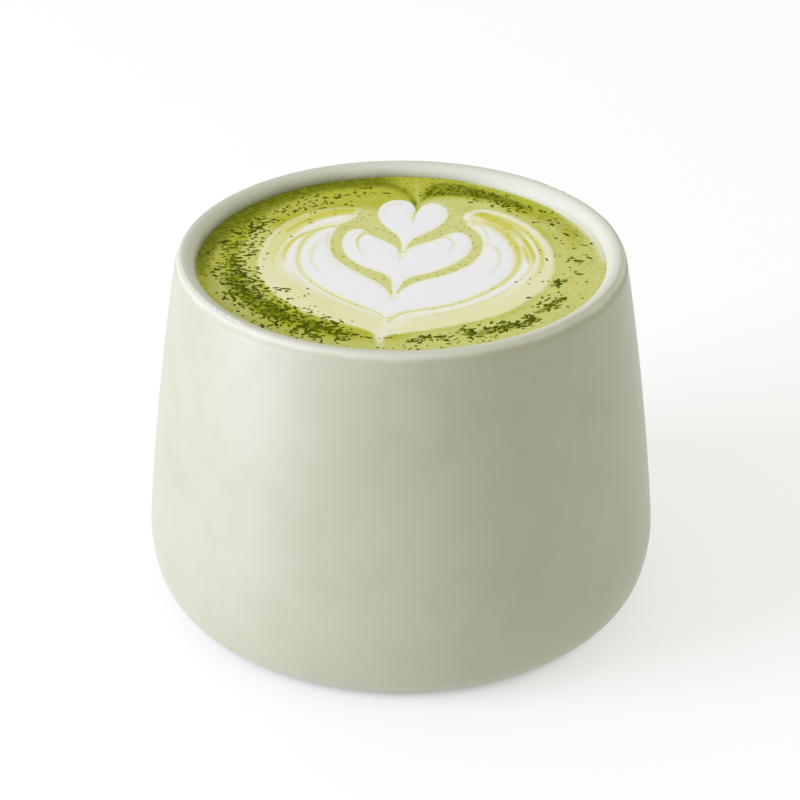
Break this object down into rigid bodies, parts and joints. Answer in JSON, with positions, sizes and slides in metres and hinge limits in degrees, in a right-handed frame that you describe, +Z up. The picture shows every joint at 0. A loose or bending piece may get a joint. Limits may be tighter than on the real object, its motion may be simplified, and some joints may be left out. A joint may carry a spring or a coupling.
{
  "type": "matcha latte in a handleless cup",
  "caption": "Matcha latte with layered poured milk art and matcha powder on top, filled to just under the lip of a rounded handleless stoneware cup.",
  "frame": {"origin": "centre of the foot ring, on the surface that the cup stands on", "axes": "+Z up along the cup's turned axis; -Y faces the viewer and is the pointed foot of the poured pattern"},
  "size_m": [0.095, 0.095, 0.07],
  "materials": {
    "glaze": "satin sage-green glaze on stoneware, warmer where it thins at the lip",
    "matcha_latte": "fine milk foam over green tea, with white poured milk art and matcha powder"
  },
  "bodies": {
    "root": {"cup": "glaze", "latte": "matcha_latte"}
  },
  "joints": []
}
